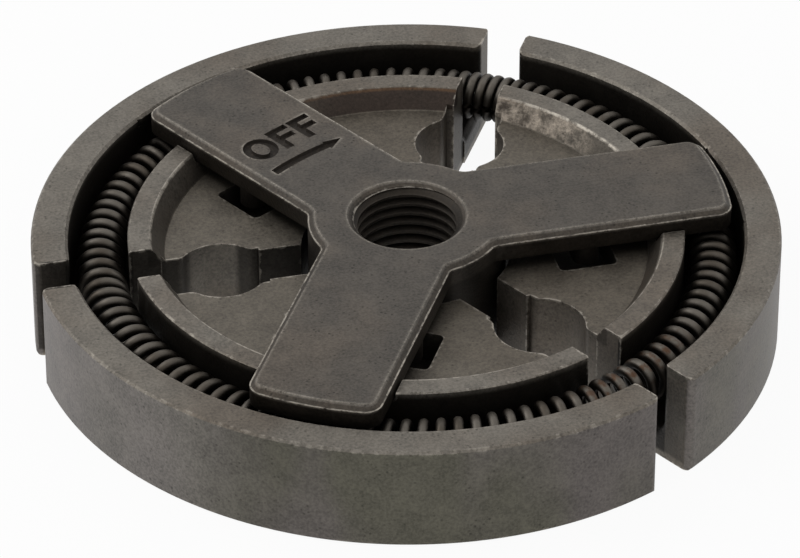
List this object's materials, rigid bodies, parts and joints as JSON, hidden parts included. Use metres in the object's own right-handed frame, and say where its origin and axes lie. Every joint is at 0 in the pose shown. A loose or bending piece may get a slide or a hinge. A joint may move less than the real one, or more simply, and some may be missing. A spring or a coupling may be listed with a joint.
{
  "type": "centrifugal clutch",
  "caption": "Centrifugal clutch: arms on a threaded hub carry sliding friction shoes, drawn inward by a ring-shaped coil spring, that fly out at speed to grip a drum.",
  "frame": {"origin": "on the clutch axis, in the plane that the shoes and the hub stand on", "axes": "+Z along the clutch axis towards the marked face of the spider, away from the engine; +X along one arm of the spider"},
  "size_m": [0.0672, 0.0672, 0.0114],
  "materials": {
    "spider_steel": "dull pressed and sintered steel, dark grey",
    "shoe_steel": "dull pressed and sintered steel, dark warm grey",
    "spring_steel": "oiled dark spring wire"
  },
  "bodies": {
    "spider_body": {"spider": "spider_steel", "garter_spring": "spring_steel"},
    "shoe_1_body": {"shoe_1": "shoe_steel"},
    "shoe_2_body": {"shoe_2": "shoe_steel"},
    "shoe_3_body": {"shoe_3": "shoe_steel"}
  },
  "joints": [
    {"name": "shoe_1_slide", "type": "slide", "parent": "spider_body", "child": "shoe_1_body", "axis": [1, 0, 0], "range_m": [0, 0.0015], "stiffness_N_per_m": 2000, "springref_m": -0.002, "deforming": ["garter_spring"]},
    {"name": "shoe_2_slide", "type": "slide", "parent": "spider_body", "child": "shoe_2_body", "axis": [-0.5, 0.866, 0], "range_m": [0, 0.0015], "stiffness_N_per_m": 2000, "springref_m": -0.002, "deforming": ["garter_spring"]},
    {"name": "shoe_3_slide", "type": "slide", "parent": "spider_body", "child": "shoe_3_body", "axis": [-0.5, -0.866, 0], "range_m": [0, 0.0015], "stiffness_N_per_m": 2000, "springref_m": -0.002, "deforming": ["garter_spring"]}
  ]
}
